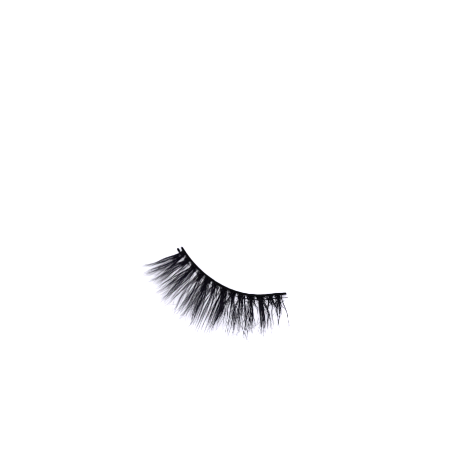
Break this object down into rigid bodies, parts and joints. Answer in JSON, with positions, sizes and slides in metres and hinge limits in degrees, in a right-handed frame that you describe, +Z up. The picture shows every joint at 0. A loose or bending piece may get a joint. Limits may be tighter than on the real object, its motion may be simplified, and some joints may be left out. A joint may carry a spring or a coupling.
{
  "type": "false eyelash strip",
  "caption": "Curved strip of false eyelashes: a flat flexible band with fans of black hair, knotted on a thread beside it, that spread, curl up and flare at the outer corner.",
  "frame": {"origin": "middle of the band's underside, at the middle of its length, on the surface that the strip lies on", "axes": "+X along the band at its middle, towards the inner corner of a right eye; -Y outwards along the hair; +Z up, the way the tips curl"},
  "size_m": [0.0413, 0.0187, 0.0057],
  "materials": {
    "band_cotton": "cotton cord pressed flat and stiffened with black size, satin",
    "thread_black": "fine black twisted cotton thread, matte",
    "lash_hair": "fine black hair with a soft violet-grey sheen"
  },
  "bodies": {
    "root": {"lash_band": "band_cotton", "tie_thread": "thread_black", "lash_fan_01": "lash_hair", "lash_fan_02": "lash_hair", "lash_fan_03": "lash_hair", "lash_fan_04": "lash_hair", "lash_fan_05": "lash_hair", "lash_fan_06": "lash_hair", "lash_fan_07": "lash_hair", "lash_fan_08": "lash_hair", "lash_fan_09": "lash_hair", "lash_fan_10": "lash_hair", "lash_fan_11": "lash_hair", "lash_fan_12": "lash_hair", "lash_fan_13": "lash_hair"}
  },
  "joints": []
}
